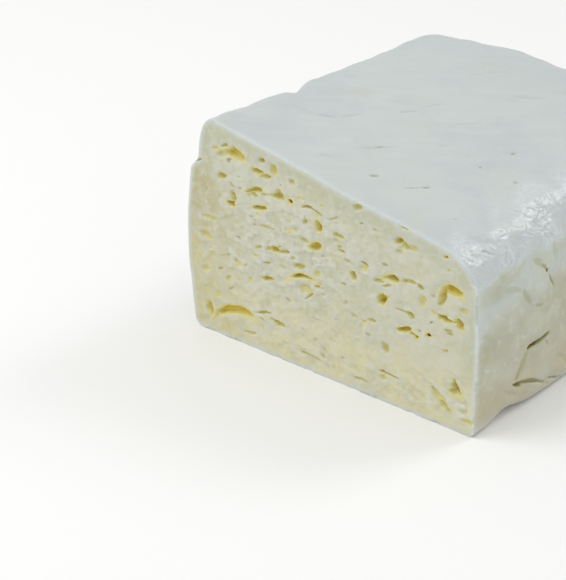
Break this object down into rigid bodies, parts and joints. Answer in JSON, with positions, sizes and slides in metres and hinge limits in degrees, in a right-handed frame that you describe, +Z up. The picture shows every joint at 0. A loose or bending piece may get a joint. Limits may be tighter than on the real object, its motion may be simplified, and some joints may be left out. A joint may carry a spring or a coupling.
{
  "type": "lighvan cheese block",
  "caption": "Block of soft white brined cheese with a knife-cut face full of small gaps, a sloping top and rounded moulded sides, lying flat on its base",
  "frame": {"origin": "middle of the block's bounding box, on the surface it lies on", "axes": "+X from the tall left edge to the low right edge as seen facing the cut, +Y from the cut face to the far end, +Z up"},
  "size_m": [0.118, 0.128, 0.0767],
  "materials": {
    "moist_curd": "moist, soft satin"
  },
  "bodies": {
    "root": {"cheese_block": "moist_curd"}
  },
  "joints": []
}
